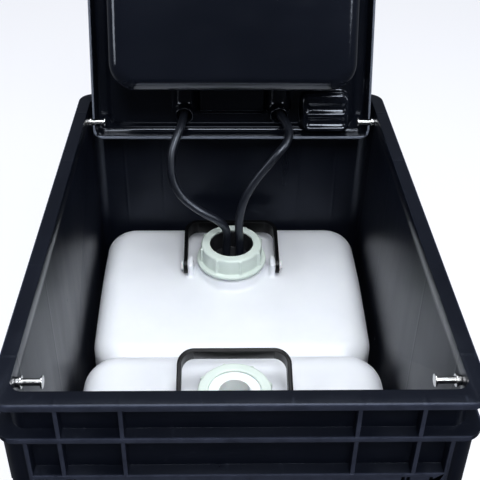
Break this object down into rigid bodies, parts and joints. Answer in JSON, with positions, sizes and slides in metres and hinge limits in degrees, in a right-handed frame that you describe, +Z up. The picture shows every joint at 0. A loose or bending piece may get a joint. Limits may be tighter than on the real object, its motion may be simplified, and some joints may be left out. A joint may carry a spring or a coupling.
{
  "type": "camper wash station",
  "caption": "Stacking container holding white canisters with ring caps, a hinged sink lid standing open and hoses from the lid to the rear cap.",
  "frame": {"origin": "centre of the container's base, on the surface it stands on", "axes": "+Z up, +Y to the rear where the lid is hinged, +X to the right seen from the front"},
  "size_m": [0.3, 0.4903, 0.6391],
  "materials": {
    "tote_plastic": "moulded polypropylene, satin, lightly scuffed",
    "lid_plastic": "thermoformed sheet, gloss over a fine leather-like grain",
    "pin_steel": "turned stainless steel",
    "drain_steel": "pressed stainless steel",
    "fitting_plastic": "moulded, semi-gloss",
    "seal_rubber": "smooth rubber",
    "canister_plastic": "blow-moulded natural white polyethylene, waxy satin",
    "cap_plastic": "moulded, pale grey-green, satin",
    "handle_plastic": "moulded strap, satin with a fine grain",
    "button_plastic": "moulded, white, satin",
    "disc_plastic": "moulded, white, satin",
    "hose_plastic": "supple black hose with a soft gloss",
    "pump_plastic": "moulded, dark grey"
  },
  "bodies": {
    "tote": {"tote_body": "tote_plastic", "hinge_pins": "pin_steel", "rest_pins": "pin_steel", "pin_collars": "pin_steel", "pin_washers": "pin_steel", "pin_nuts": "pin_steel", "fresh_tank": "canister_plastic", "fresh_handle_buttons": "button_plastic", "riser_hose": "hose_plastic", "pump_lead": "hose_plastic", "pump_body": "pump_plastic", "pump_strainer": "pump_plastic", "supply_hose": "hose_plastic", "lead_sleeve": "hose_plastic"},
    "lid": {"lid_shell": "lid_plastic", "duct_plugs": "seal_rubber", "drain_strainer": "drain_steel", "drain_seal": "seal_rubber", "drain_nut": "fitting_plastic", "drain_tail": "fitting_plastic"},
    "fresh_handle": {"fresh_handle": "handle_plastic"},
    "fresh_cap": {"fresh_neck_seal": "seal_rubber", "fresh_cap_insert": "fitting_plastic"},
    "fresh_ring": {"fresh_cap_ring": "cap_plastic"},
    "waste_canister": {"waste_tank": "canister_plastic", "waste_handle_buttons": "button_plastic"},
    "waste_handle": {"waste_handle": "handle_plastic"},
    "waste_cap": {"waste_neck_seal": "seal_rubber", "waste_cap_insert": "disc_plastic"},
    "waste_ring": {"waste_cap_ring": "cap_plastic"}
  },
  "joints": [
    {"name": "lid_hinge", "type": "hinge", "parent": "tote", "child": "lid", "pos_m": [0, 0.1605, 0.309], "axis": [-1, 0, 0], "range_deg": [-108.45, 0], "deforming": ["supply_hose", "lead_sleeve"]},
    {"name": "fresh_handle_swing", "type": "hinge", "parent": "tote", "child": "fresh_handle", "pos_m": [0, 0.1017, 0.18], "axis": [1, 0, 0], "range_deg": [-11, 42]},
    {"name": "fresh_cap_lift", "type": "slide", "parent": "tote", "child": "fresh_cap", "axis": [0, 0, 1], "range_m": [0, 0.0091]},
    {"name": "fresh_cap_turn", "type": "hinge", "parent": "fresh_cap", "child": "fresh_ring", "pos_m": [0, 0.112, 0.19], "axis": [0, 0, 1], "range_deg": [0, 540]},
    {"name": "waste_tank_lift", "type": "slide", "parent": "tote", "child": "waste_canister", "axis": [0, 0, 1], "range_m": [0, 0.12]},
    {"name": "waste_handle_swing", "type": "hinge", "parent": "waste_canister", "child": "waste_handle", "pos_m": [0, -0.0858, 0.18], "axis": [1, 0, 0], "range_deg": [-22, 155]},
    {"name": "waste_cap_lift", "type": "slide", "parent": "waste_canister", "child": "waste_cap", "axis": [0, 0, 1], "range_m": [0, 0.0091]},
    {"name": "waste_cap_turn", "type": "hinge", "parent": "waste_cap", "child": "waste_ring", "pos_m": [0, -0.0755, 0.186], "axis": [0, 0, 1], "range_deg": [0, 540]}
  ],
  "couplings": [
    {"joint": "fresh_cap_lift", "follows": "fresh_cap_turn", "m_per_rad": 0.00095493},
    {"joint": "waste_cap_lift", "follows": "waste_cap_turn", "m_per_rad": 0.00095493}
  ]
}
